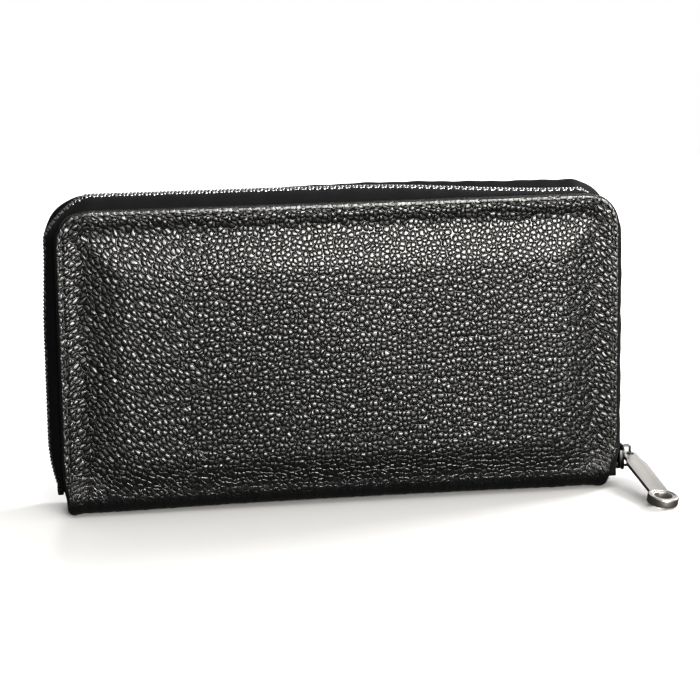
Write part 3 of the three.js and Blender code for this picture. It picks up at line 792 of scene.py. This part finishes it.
def zip_tape(name, side):
    section = tape_section()
    section_length = path_lengths(section)
    places, step = edge_path(0.0, LEFT_START, 4 * MM, 1.6 * MM)
    outer, inner, uv = [], [], []
    for number, (x, z, out_x, out_z) in enumerate(places):
        ruffle = 0.18 * MM * math.sin(number * 0.83) * math.sin(number * 0.31 + side)
        lean_sink, lean_y, swell = zip_lean(x, z, out_x, out_z)
        limit = inner_half_depth(z)
        for (y, out), along in zip(section, section_length):
            near_chain = min(max(out / TAPE_TOP, 0), 1)
            sinking = near_chain if side < 0 else near_chain**5
            sink = near_chain * taper_at(out_x, z) + sinking * lean_sink
            if side > 0:
                sink -= swell * bump_curve(y, 5.5 * MM, 3 * MM)
            out_here = out - sink + ruffle * math.sin(math.pi * min(y / HALF_DEPTH, 1))
            y_here = min(y, limit) + side * near_chain * lean_y
            slope = float(smoothstep(7 * MM, 11 * MM, y))
            y_in = y_here - TAPE_THICK * slope
            out_in = out_here - TAPE_THICK * (1 - slope)
            outer.append((x + out_x * out_here, side * y_here, z + out_z * out_here))
            inner.append((x + out_x * out_in, side * y_in, z + out_z * out_in))
            uv.append((number * step, along))
    tape = two_sided(f"{name}_cloth", outer, inner, len(section), MATERIALS["zip_tape"], np.array(uv + uv))
    return declare(tape, "zip_tape", name, **ZIP_MOTION[side])


# ------------------------------------------------------------------ teeth
def rounded_block(size, bevel, segments=2):
    """Vertices and faces of a block with rounded edges, centred on the origin."""
    work = bmesh.new()
    bmesh.ops.create_cube(work, size=1.0)
    bmesh.ops.scale(work, vec=size, verts=work.verts)
    bmesh.ops.bevel(work, geom=work.edges[:] + work.verts[:], offset=bevel, segments=segments,
                    profile=0.5, affect="EDGES")
    vertices = np.array([v.co[:] for v in work.verts])
    faces = [[v.index for v in f.verts] for f in work.faces]
    work.free()
    return vertices, faces


def round_head(radii, rings=6, sides=10):
    """Vertices and faces of an ellipsoid."""
    vertices = [(0, 0, radii[2]), (0, 0, -radii[2])]
    faces = []
    for ring in range(1, rings):
        angle = math.pi * ring / rings
        for side in range(sides):
            turn = 2 * math.pi * side / sides
            vertices.append((
                radii[0] * math.sin(angle) * math.cos(turn),
                radii[1] * math.sin(angle) * math.sin(turn),
                radii[2] * math.cos(angle),
            ))
    for side in range(sides):
        right = (side + 1) % sides
        faces.append((0, 2 + side, 2 + right))
        last = 2 + (rings - 2) * sides
        faces.append((1, last + right, last + side))
        for ring in range(rings - 2):
            a = 2 + ring * sides + side
            b = 2 + ring * sides + right
            faces.append((a, a + sides, b + sides, b))
    return np.array(vertices), faces


def metal_block(name, size, bevel, place, segments=2):
    vertices, faces = rounded_block(size, bevel, segments)
    return make_object(name, vertices + np.array(place), faces, MATERIALS["gunmetal"])


def tooth_template():
    """One tooth: a crimped leg across the tape's edge and a round head past the middle.

    X runs along the chain, Y across it and Z outward."""
    leg_vertices, leg_faces = rounded_block((1.0 * MM, 2.5 * MM, 1.7 * MM), 0.22 * MM)
    leg_vertices = leg_vertices + np.array([0, 1.35 * MM, -0.1 * MM])
    leg_vertices[:, 2] -= 0.25 * MM * smoothstep(0.6 * MM, 2.6 * MM, leg_vertices[:, 1])
    head_vertices, head_faces = round_head((0.86 * MM, 0.9 * MM, 1.08 * MM))
    head_vertices = head_vertices + np.array([0, -0.05 * MM, 0])
    count = len(leg_vertices)
    faces = [list(f) for f in leg_faces] + [[i + count for i in f] for f in head_faces]
    return np.concatenate([leg_vertices, head_vertices]), faces


def tooth_row(name, side):
    places, _ = edge_path(CHAIN_OFFSET, LEFT_START, RIGHT_END, TOOTH_PITCH / 2)
    first = 0 if side > 0 else 1
    movers = []
    for x, z, out_x, out_z in places[first::2]:
        lean_sink, lean_y, _ = zip_lean(x, z, out_x, out_z)
        sink = taper_at(out_x, z) + lean_sink
        movers.append(on_edge(x - out_x * sink, lean_y, z - out_z * sink, out_x, out_z, side))
    teeth = join_copies(f"{name}_row", tooth_template(), movers, MATERIALS["teeth"])
    fix_normals(teeth)
    return declare(teeth, "gunmetal", name, **ZIP_MOTION[side])


# ------------------------------------------------------------------ slider and puller
def beveled_plate(name, outline, holes, thickness, bevel, material):
    """A flat plate in X-Y with rounded edges, from a closed outline and round or slot holes."""
    curve = bpy.data.curves.new(name, "CURVE")
    curve.dimensions = "2D"
    curve.fill_mode = "BOTH"
    curve.extrude = thickness / 2 - bevel
    curve.bevel_depth = bevel
    curve.bevel_resolution = 3
    curve.offset = -bevel
    for points in [outline] + holes:
        spline = curve.splines.new("POLY")
        spline.points.add(len(points) - 1)
        for point, (x, y) in zip(spline.points, points):
            point.co = (x, y, 0, 1)
        spline.use_cyclic_u = True
    solid = curve_to_mesh(name, curve, material)
    fix_normals(solid)
    return solid


def arc_points(centre, radius, start, end, count):
    angles = np.radians(np.linspace(start, end, count))
    return [(centre[0] + radius * math.cos(a), centre[1] + radius * math.sin(a)) for a in angles]


def ring_section(outer, inner, low, high, round_by, name, material):
    """A washer-like ring round Z with well rounded rims, as a lathe of its section."""
    corners = [
        (outer - round_by, low + round_by, -90, 0),
        (outer - round_by, high - round_by, 0, 90),
        (inner + round_by, high - round_by, 90, 180),
        (inner + round_by, low + round_by, 180, 270),
    ]
    section = []
    for r, z, start, end in corners:
        section += arc_points((r, z), round_by, start, end, 6)
    turns = 56
    vertices = []
    for turn in range(turns):
        angle = 2 * math.pi * turn / turns
        vertices += [(r * math.cos(angle), r * math.sin(angle), z) for r, z in section]
    size = len(section)
    faces = []
    for turn in range(turns):
        following = (turn + 1) % turns
        for k in range(size):
            right = (k + 1) % size
            here = turn * size
            there = following * size
            faces.append((here + k, there + k, there + right, here + right))
    return make_object(name, np.array(vertices), faces, material)


def join_objects(name, objects):
    bpy.ops.object.select_all(action="DESELECT")
    for obj in objects:
        obj.select_set(True)
    bpy.context.view_layer.objects.active = objects[0]
    bpy.ops.object.join()
    objects[0].name = name
    return objects[0]


def puller_outline(length, boss):
    """The bar along +X: a round nose, a neck beside the slider, then its full width."""
    neck = 2.7 * MM
    full = 3.6 * MM
    meet = math.degrees(math.asin(full / boss))
    flare = [
        (4.8 * MM, neck),
        (5.6 * MM, neck + 0.06 * MM),
        (8.2 * MM, full - 0.08 * MM),
        (9 * MM, full),
    ]
    outline = arc_points((0, 0), neck, 90, 270, 24)
    outline += [(x, -y) for x, y in flare]
    outline += arc_points((length, 0), boss - 0.35 * MM, 180 + meet, 540 - meet, 48)
    outline += flare[::-1]
    return outline


def rounded_slot(half_x, half_y, radius):
    points = []
    for sign_x, sign_y, start in ((1, 1, 0), (-1, 1, 90), (-1, -1, 180), (1, -1, 270)):
        centre = (sign_x * (half_x - radius), sign_y * (half_y - radius))
        points += arc_points(centre, radius, start, start + 90, 6)
    return points


def joint_place(name):
    joints = frame["record"]["behaviour"]["joints"]
    return Vector(next(joint for joint in joints if joint["name"] == name)["pos_m"])


def zip_puller():
    """The flat bar with a round nose on the bridge and a thick eyelet at its free end."""
    length = 40 * MM
    boss = 5.3 * MM
    hole = 3.0 * MM
    thick = 1.3 * MM
    deep = 2.9 * MM
    top = thick / 2 + 0.25 * MM
    eye = arc_points((length, 0), hole + 0.3 * MM, 0, 350, 40)
    slot = rounded_slot(1.1 * MM, 1.3 * MM, 0.6 * MM)
    metal_look = MATERIALS["nickel"]
    bar = beveled_plate("puller_bar", puller_outline(length, boss), [slot, eye], thick, 0.18 * MM, metal_look)
    body = ring_section(boss, hole, top - deep, top - 0.12 * MM, 0.4 * MM, "puller_boss", metal_look)
    rim = ring_section(boss - 0.15 * MM, boss - 1.35 * MM, top - 0.8 * MM, top + 0.12 * MM, 0.3 * MM,
                       "puller_rim", metal_look)
    body.location = (length, 0, 0)
    rim.location = (length, 0, 0)
    bpy.context.view_layer.update()
    puller = join_objects("zip_puller_body", [bar, body, rim])
    turn = Matrix.Identity(4)
    roll = -5
    slope = 7.6
    for axis, degrees in (("X", roll), ("Y", slope), ("Z", -90)):
        turn = Matrix.Rotation(math.radians(degrees), 4, axis) @ turn
    puller.data.transform(Matrix.Translation(joint_place("puller_swing")) @ turn)
    shade_smooth(puller)
    shade_by_angle(puller)
    return declare(puller, "nickel", "zip_puller", "puller")


def shade_by_angle(obj, degrees=35):
    """Marks edges sharper than an angle, so flat faces stay flat beside rounded ones."""
    work = bmesh.new()
    work.from_mesh(obj.data)
    limit = math.radians(degrees)
    for edge in work.edges:
        edge.smooth = not (len(edge.link_faces) == 2 and edge.calc_face_angle() > limit)
    work.to_mesh(obj.data)
    work.free()


def wire_along(name, points, radius, material):
    """A round wire bent through the given points."""
    curve = bpy.data.curves.new(name, "CURVE")
    curve.dimensions = "3D"
    curve.bevel_depth = radius
    curve.bevel_resolution = 4
    curve.resolution_u = 10
    curve.use_fill_caps = True
    spline = curve.splines.new("NURBS")
    spline.points.add(len(points) - 1)
    for point, place in zip(spline.points, points):
        point.co = (*place, 1)
    spline.use_endpoint_u = True
    spline.order_u = 3
    wire = curve_to_mesh(name, curve, material)
    shade_smooth(wire)
    return wire


def slider_bridge():
    radius = (bridge_high.y - bridge_low.y) / 2
    low = bridge_low.z + radius
    high = bridge_high.z - radius
    out = bridge_high.x - radius
    foot = bridge_low.x
    hook = [(foot, 0, low), (foot + 0.9 * MM, 0, low), (out, 0, low), (out, 0, low + 1.8 * MM)]
    points = hook + [(x, 0, low + high - z) for x, _, z in reversed(hook)]
    wire = wire_along("bridge_wire", points, radius, MATERIALS["gunmetal"])
    return declare(wire, "gunmetal", "slider_bridge", "slider")


def slider_outline(half, low, high):
    """The slider's plates seen from outside: round shoulders above, waisted towards the foot."""
    points = arc_points((half * 0.4, high - half * 0.6), half * 0.6, 0, 90, 8)
    points += arc_points((-half * 0.4, high - half * 0.6), half * 0.6, 90, 180, 8)
    points += [(-half * 0.86, (low + high) / 2)]
    points += arc_points((-half * 0.45, low + half * 0.35), half * 0.35, 180, 270, 6)
    points += arc_points((half * 0.45, low + half * 0.35), half * 0.35, 270, 360, 6)
    points += [(half * 0.86, (low + high) / 2)]
    return points


def slider_body():
    """Two shaped plates with flanges along their edges and a post between them."""
    half = slider_high.y
    low, high = slider_low.z, slider_high.z
    plate = 0.7 * MM
    pieces = []
    for number, x in enumerate((slider_high.x - plate / 2, slider_low.x + plate / 2)):
        outline = slider_outline(half, low, high)
        flat = beveled_plate(f"plate_{number}", outline, [], plate, 0.22 * MM, MATERIALS["gunmetal"])
        for vertex in flat.data.vertices:
            y, z, depth = vertex.co
            vertex.co = (x + depth, y, z)
        pieces.append(flat)
    flange = (1.2 * MM, 0.75 * MM, (high - low) * 0.72)
    for number, x in enumerate((slider_high.x - 1.3 * MM, slider_low.x + 0.55 * MM)):
        for side in (-1, 1):
            place = (x, side * (half - 0.55 * MM), low + (high - low) * 0.47)
            pieces.append(metal_block(f"flange_{number}_{side}", flange, 0.2 * MM, place))
    post = (slider_high.x - slider_low.x - 0.4 * MM, 1.1 * MM, 2.6 * MM)
    place = ((slider_low.x + slider_high.x) / 2, 0, low + 1.5 * MM)
    pieces.append(metal_block("post", post, 0.3 * MM, place))
    body = join_objects("slider_casting", pieces)
    fix_normals(body)
    shade_smooth(body)
    shade_by_angle(body)
    return declare(body, "gunmetal", "zip_slider", "slider")


def end_stop(node):
    """A small crimped metal stop in place of its plain block."""
    low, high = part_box(node)
    stop = metal_block(f"{node}_crimp", tuple(high - low), 0.35 * MM, (low + high) / 2, 3)
    return declare(stop, "gunmetal", node, "root")


# ------------------------------------------------------------------ inside
def soft_sheet(name, node, body, look, radius, dip=0.0):
    """A thin panel with round top corners and rounded rims, in place of its plain CAD sheet."""
    low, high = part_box(node)
    half = (high.x - low.x) / 2
    thick = high.y - low.y
    outline = [(-half, low.z), (half, low.z)]
    outline += arc_points((half - radius, high.z - radius), radius, 0, 90, 8)
    if dip:
        notch = graded([(half - radius, -(half - radius), 4 * MM)])[1:-1]
        outline += [(x, high.z - dip * bump_curve(x, 0, 11 * MM)) for x in notch]
    outline += arc_points((-half + radius, high.z - radius), radius, 90, 180, 8)
    sheet = beveled_plate(name, outline, [], thick, thick * 0.3, MATERIALS[look])
    middle = (low.y + high.y) / 2
    for vertex in sheet.data.vertices:
        x, z, depth = vertex.co
        vertex.co = (x, middle + depth, z)
    fix_normals(sheet)
    shade_by_angle(sheet)
    return declare(sheet, look, node, body)


def thread_line(name, start, end, normal_y, body):
    """A straight row of stitches between two points on an inner panel."""
    pitch = 2.6 * MM
    start, way = Vector(start), Vector(end) - Vector(start)
    along = way.normalized()
    across = along.cross(Vector((0, 1, 0)))
    count = max(2, int(way.length / pitch))
    movers = []
    for number in range(count):
        middle = start + way * ((number + 0.5) / count)
        movers.append(placed(middle, along, (0, normal_y, 0), across))
    line = join_copies(name, stitch_template(pitch * 0.78, 0.18 * MM), movers, THREAD)
    fix_normals(line)
    return declare(line, "smooth_leather", body=body)


def inner_half(label, side, body):
    """The lining, padding, board and card slots of one half."""
    padding = soft_sheet(f"{label}_foam_sheet", f"{label}_padding", body, "foam", 2 * MM)
    stiffener = soft_sheet(f"{label}_stiffener", f"{label}_board", body, "board", 2 * MM)
    lining = soft_sheet(f"{label}_lining_cloth", f"{label}_lining", body, "lining", 3 * MM)
    low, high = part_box(f"{label}_lining")
    soft_sheet(f"{label}_card_backing", f"{label}_card_wall", body, "smooth_leather", 3 * MM)
    for number in range(1, 5):
        node = f"{label}_card_slot_{number}"
        soft_sheet(f"{label}_slot_strip_{number}", node, body, "smooth_leather", 1.5 * MM, dip=2.2 * MM)
        low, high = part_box(node)
        face = low.y if side > 0 else high.y
        hem = high.z - 1.8 * MM
        for end, x, end_x in (("left", low.x + 3 * MM, -14 * MM), ("right", 14 * MM, high.x - 3 * MM)):
            thread_line(f"{label}_hem_{number}_{end}", (x, face, hem), (end_x, face, hem), -side, body)
    # the divider is sewn through the lowest strip, the last one above
    thread_line(f"{label}_divider_stitch", (0, face, low.z + 2 * MM), (0, face, high.z - 3 * MM), -side, body)


def folded_profile(half_depth, low, high, radius, straight, bend):
    """(y, z, outward y, outward z) points down one wall, round the fold and up the other."""
    points = [(-half_depth, z, -1.0, 0.0) for z in np.linspace(high, low + radius, straight)]
    for angle in np.linspace(math.pi, 1.5 * math.pi, bend)[1:]:
        out_y, out_z = math.cos(angle), math.sin(angle)
        points.append((-half_depth + radius + radius * out_y, low + radius + radius * out_z, out_y, out_z))
    return points + [(-y, z, -out_y, out_z) for y, z, out_y, out_z in reversed(points)]


def spine_lining_cloth():
    """The cloth strip inside the fold, which on the real wallet bends with the cover."""
    low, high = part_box("spine_lining")
    thick = 0.45 * MM
    profile = folded_profile(high.y, low.z, high.z, SPINE_RADIUS - LEATHER - 0.3 * MM, 5, 10)
    xs = np.linspace(low.x, high.x, 60)
    outer, inner = [], []
    for y, z, out_y, out_z in profile:
        for x in xs:
            lift = float(foot_arch(x, z)) + 0.15 * MM
            outer.append((x, y, z + lift))
            inner.append((x, y - out_y * thick, z + lift - out_z * thick))
    cloth = two_sided("spine_lining_cloth", outer, inner, len(xs), MATERIALS["lining"])
    return declare(cloth, "lining", "spine_lining", bend=SKIN_BEND)


def gusset_fan(name, node, sign):
    """An accordion gusset: pleats at rest, which on the real wallet spread like a fan as the cover opens."""
    low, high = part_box(node)
    half = 5.2 * MM
    ridden = 4.6 * MM
    thick = 0.4 * MM
    foot = LEATHER + 2.9 * MM
    pleats = 4
    reach = 5.2 * MM
    base = sign * max(abs(low.x), abs(high.x))
    across = np.linspace(-1, 1, 2 * pleats * 3 + 1)
    outer, inner = [], []
    for z in np.linspace(foot, high.z, 34):
        for t in across:
            x = base - sign * reach * (0.5 - 0.5 * math.cos(math.pi * pleats * (t + 1)))
            outer.append((x, t * half, z))
            inner.append((x - sign * thick, t * half, z))
    fan = two_sided(name, outer, inner, len(across), MATERIALS["lining"])
    return declare(fan, "lining", node, bend={"start": (0, ridden, 0), "end": (0, -ridden, 0)})


def coin_bag():
    """The coin pocket's bag: two leather walls folded at the foot, open above."""
    low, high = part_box("coin_bag")
    thick = 0.6 * MM
    profile = folded_profile(high.y, low.z, high.z, 2.6 * MM, 22, 8)
    xs = np.linspace(low.x, high.x, 64)
    outer, inner = [], []
    for y, z, out_y, out_z in profile:
        for x in xs:
            slack = 0.25 * MM * math.sin(x * 90 + z * 60) * smoothstep(low.z + 4 * MM, low.z + 30 * MM, z)
            y_out = y + out_y * min(slack, 0.0)
            outer.append((x, y_out, z))
            inner.append((x, y_out - out_y * thick, z - out_z * thick))
    bag = two_sided("coin_bag_leather", outer, inner, len(xs), MATERIALS["smooth_leather"])
    declare(bag, "smooth_leather", "coin_bag", "coin_pocket")
    for label, side in (("front", -1), ("rear", 1)):
        face = side * (high.y + 0.02 * MM)
        for name, z in (("mouth", high.z - 2 * MM), ("foot", low.z + 5 * MM)):
            thread_line(f"coin_{label}_{name}_stitch", (low.x + 2 * MM, face, z), (high.x - 2 * MM, face, z),
                        side, "coin_pocket")
    return bag


def coin_zip():
    """The coin pocket's tapes, single teeth, slider and tab."""
    pitch = 2.0 * MM
    for label, side in (("front", -1), ("rear", 1)):
        soft_sheet(f"coin_{label}_zip_tape", f"coin_{label}_tape", "coin_pocket", "zip_tape", 0.5 * MM)
        node = f"coin_{label}_teeth"
        low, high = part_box(node)
        template = rounded_block((1.1 * MM, high.y - low.y, high.z - low.z), 0.25 * MM)
        middle = (low + high) / 2
        shift = 0.0 if side > 0 else pitch / 2
        movers = [
            placed((x + shift, middle.y, middle.z), (1, 0, 0), (0, 1, 0), (0, 0, 1))
            for x in np.arange(low.x + pitch, high.x - pitch, pitch)
        ]
        teeth = join_copies(f"coin_{label}_teeth_row", template, movers, MATERIALS["gunmetal"])
        declare(teeth, "gunmetal", node, "coin_pocket")
    for node in ("coin_slider", "coin_puller"):
        piece = bpy.data.objects[node]
        piece.data.materials.clear()
        piece.data.materials.append(MATERIALS["nickel"])


# ------------------------------------------------------------------ studio
def studio():
    """A pale table top; the white beyond it is the world as the camera sees it."""
    ys = graded([(-1.6, 1.0, 0.13)])
    xs = graded([(-1.8, 1.8, 0.15)])
    vertices = [(x, y, 0.0) for y in ys for x in xs]
    floor = make_object("studio_floor", np.array(vertices), grid_faces(len(ys), len(xs)), studio_floor())
    floor.visible_glossy = False


def area_light(name, place, target, size, power, color=(1, 1, 1)):
    light = bpy.data.lights.new(name, "AREA")
    light.shape = "RECTANGLE"
    light.size, light.size_y = size
    light.energy = power
    light.color = color
    obj = bpy.data.objects.new(name, light)
    bpy.context.scene.collection.objects.link(obj)
    obj.location = place
    direction = Vector(target) - Vector(place)
    obj.rotation_mode = "QUATERNION"
    obj.rotation_quaternion = direction.to_track_quat("-Z", "Y")
    obj.visible_camera = False
    return obj


def lights():
    target = (0, 0, 0.05)
    area_light("key_right", (0.8, 0.32, 0.6), target, (0.3, 0.3), 18)
    overhead = area_light("overhead", (0.0, 0.1, 1.5), (0, 0.1, 0), (4.4, 4.0), 112)
    overhead.visible_glossy = False
    area_light("front_softbox", (0.45, -1.35, 0.34), (0.02, 0, 0.06), (0.9, 0.45), 74, (1.0, 0.985, 0.945))
    area_light("strip_above", (0.1, -0.2, 1.0), (0, 0, 0.1), (1.4, 0.16), 6)
    area_light("back_card", (0.05, 1.3, 0.6), (0.05, 0, 0.05), (1.8, 0.8), 6)


def studio_world():
    """White where the camera sees past the floor, and dim for every other ray."""
    world = bpy.data.worlds.new("studio")
    world.use_nodes = True
    tree = world.node_tree
    dim = tree.nodes["Background"]
    dim.inputs["Color"].default_value = (1.0, 0.99, 0.98, 1)
    dim.inputs["Strength"].default_value = 0.07
    seen = tree.nodes.new("ShaderNodeBackground")
    seen.inputs["Color"].default_value = (1.0, 1.0, 1.0, 1)
    path = tree.nodes.new("ShaderNodeLightPath")
    mix = tree.nodes.new("ShaderNodeMixShader")
    tree.links.new(path.outputs["Is Camera Ray"], mix.inputs[0])
    tree.links.new(dim.outputs[0], mix.inputs[1])
    tree.links.new(seen.outputs[0], mix.inputs[2])
    tree.links.new(mix.outputs[0], tree.nodes["World Output"].inputs["Surface"])
    bpy.context.scene.world = world


def camera():
    azimuth = math.radians(9.5)
    elevation = math.radians(11.0)
    target = Vector((4.1 * MM, 0, 51 * MM))
    distance = 0.782
    forward = Vector((
        math.sin(azimuth) * math.cos(elevation),
        math.cos(azimuth) * math.cos(elevation),
        -math.sin(elevation),
    ))
    data = bpy.data.cameras.new("camera")
    data.sensor_width = 36
    data.lens = 117
    data.clip_start = 0.01
    obj = bpy.data.objects.new("camera", data)
    bpy.context.scene.collection.objects.link(obj)
    obj.location = target - forward * distance
    obj.rotation_mode = "QUATERNION"
    roll = math.radians(0.8)
    look = forward.to_track_quat("-Z", "Y")
    obj.rotation_quaternion = Quaternion(forward, roll) @ look
    bpy.context.scene.camera = obj


camera()
lights()
studio_world()
studio()
leather_skin()
for side_name, side in (("front", -1), ("rear", 1)):
    edge_stitching(f"{side_name}_edge_stitches", side)
    zip_tape(f"{side_name}_zip_tape", side)
    tooth_row(f"{side_name}_zip_teeth", side)
    for end in ("left", "right"):
        end_stop(f"{side_name}_{end}_stop")
    inner_half(side_name, side, "front_cover" if side < 0 else "root")
slider_body()
slider_bridge()
zip_puller()
spine_lining_cloth()
gusset_fan("left_gusset_fan", "left_gusset", -1)
gusset_fan("right_gusset_fan", "right_gusset", 1)
coin_bag()
coin_zip()
bpy.context.scene.view_settings.view_transform = "Standard"
bpy.context.scene.view_settings.gamma = 0.88
